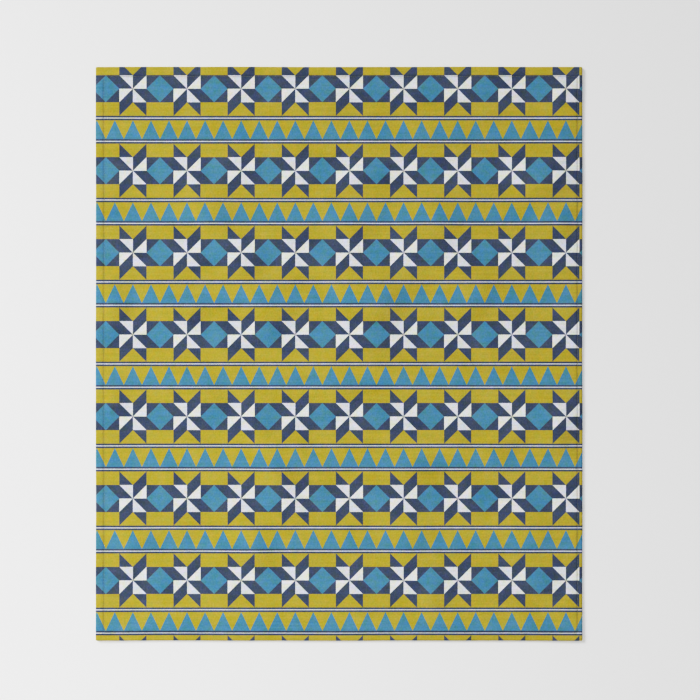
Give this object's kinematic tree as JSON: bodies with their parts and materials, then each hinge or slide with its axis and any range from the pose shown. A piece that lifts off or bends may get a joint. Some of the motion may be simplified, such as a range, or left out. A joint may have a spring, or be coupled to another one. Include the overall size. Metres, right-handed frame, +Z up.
{
  "type": "fleece throw blanket",
  "caption": "Rectangular fleece throw blanket lying face up, one hemmed sheet with soft low folds and a printed geometric face.",
  "frame": {"origin": "on the floor under the middle of the throw", "axes": "+Z up through the cloth, +Y to the top edge along the longer side, +X to the right edge along the shorter side"},
  "size_m": [1.295, 1.527, 0.0123],
  "materials": {
    "printed_fleece": "matte brushed fleece, printed face"
  },
  "bodies": {
    "root": {"throw_blanket": "printed_fleece"}
  },
  "joints": []
}
